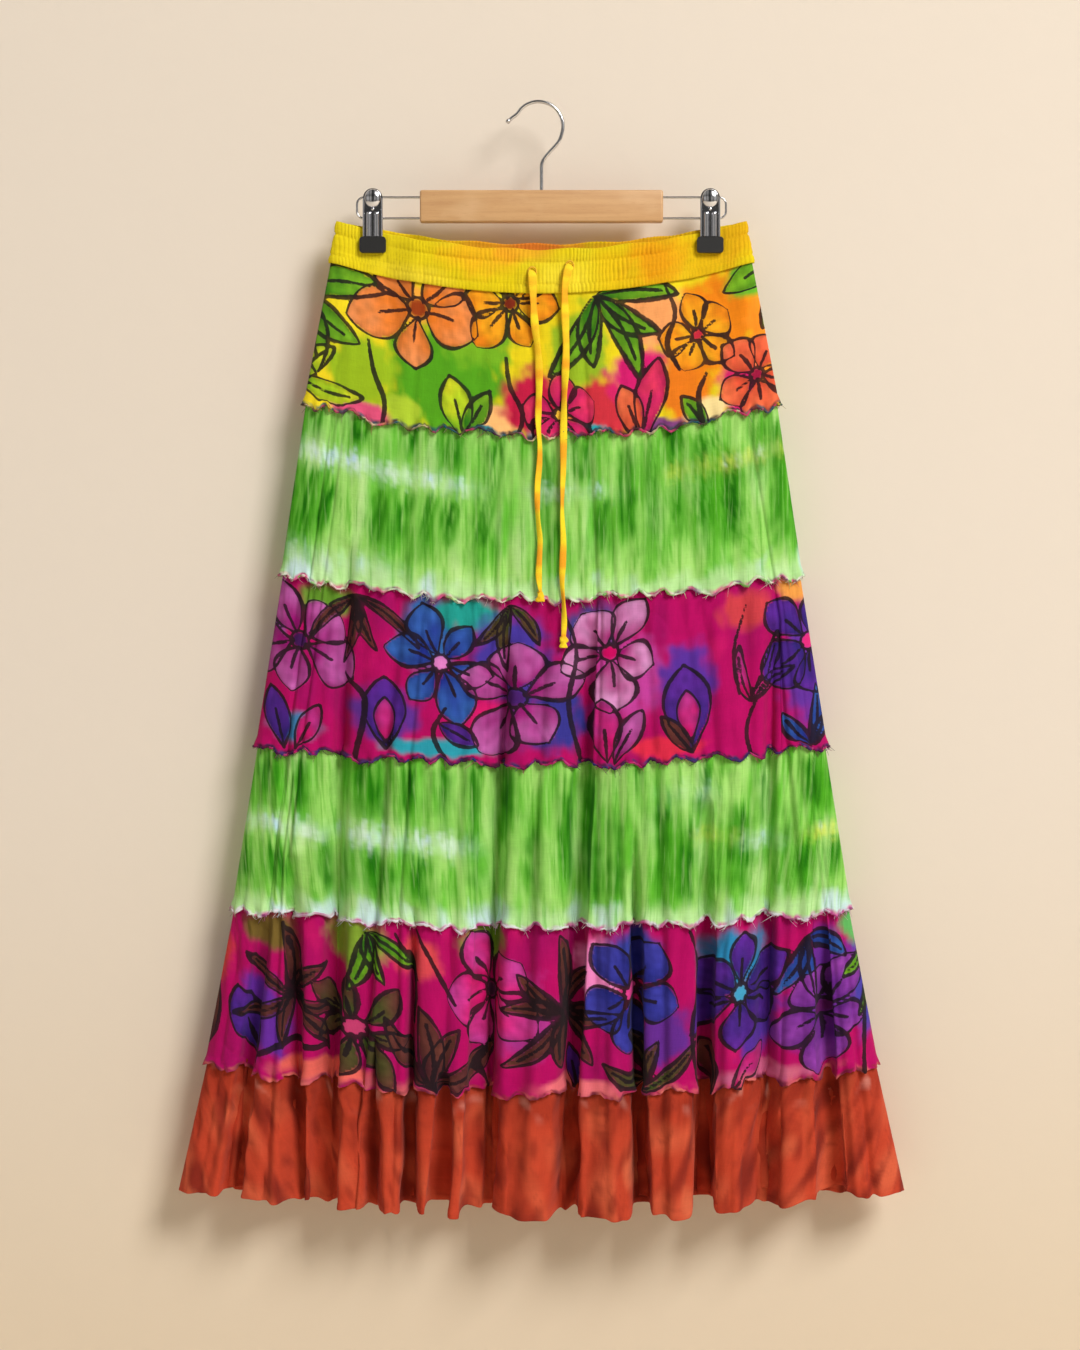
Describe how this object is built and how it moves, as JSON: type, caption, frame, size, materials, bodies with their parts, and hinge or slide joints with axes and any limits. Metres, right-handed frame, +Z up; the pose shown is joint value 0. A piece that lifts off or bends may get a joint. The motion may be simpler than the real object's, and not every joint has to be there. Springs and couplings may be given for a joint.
{
  "type": "tiered maxi skirt on a clip hanger",
  "caption": "Long tiered cotton skirt with an elastic drawstring waist, painted and dyed bands, raw tier edges and a gathered hem flounce, held flat at the waist by a wooden clip hanger.",
  "frame": {"origin": "the inside top of the hanger's hook, where a rail or nail carries it", "axes": "+Z up along the skirt's length, -Y towards the viewer of the skirt's front, +X to that viewer's right"},
  "size_m": [0.6974, 0.0788, 1.0717],
  "materials": {
    "band_cloth": "thin woven cotton, dyed yellow with orange patches, matte",
    "yoke_print": "thin woven cotton, painted flowers outlined in black, matte",
    "green_dye": "thin woven cotton, space dyed in greens, matte",
    "berry_print": "thin woven cotton, painted in magenta and purple, matte",
    "rust_dye": "thin woven cotton, mottled rust dye, matte and creased",
    "cord_cloth": "flat tie sewn from the yellow cloth, matte",
    "steel": "bright round wire",
    "chrome": "bright pressed sheet",
    "beech": "pale beech with a thin satin lacquer",
    "rubber": "black, satin"
  },
  "bodies": {
    "root": {"waistband_front": "band_cloth", "yoke_front": "yoke_print", "tier_2_front": "green_dye", "tier_3_front": "berry_print", "tier_4_front": "green_dye", "tier_5_front": "berry_print", "hem_flounce_front": "rust_dye", "waistband_back": "band_cloth", "yoke_back": "yoke_print", "tier_2_back": "green_dye", "tier_3_back": "berry_print", "tier_4_back": "green_dye", "tier_5_back": "berry_print", "hem_flounce_back": "rust_dye", "drawstring_left": "cord_cloth", "drawstring_right": "cord_cloth", "hanger_hook": "steel", "hanger_bar": "beech", "slide_wire_left": "steel", "clip_left_front_leaf": "chrome", "clip_left_back_leaf": "chrome", "clip_left_spring": "chrome", "clip_left_front_pad": "rubber", "clip_left_back_pad": "rubber", "slide_wire_right": "steel", "clip_right_front_leaf": "chrome", "clip_right_back_leaf": "chrome", "clip_right_spring": "chrome", "clip_right_front_pad": "rubber", "clip_right_back_pad": "rubber"}
  },
  "joints": []
}
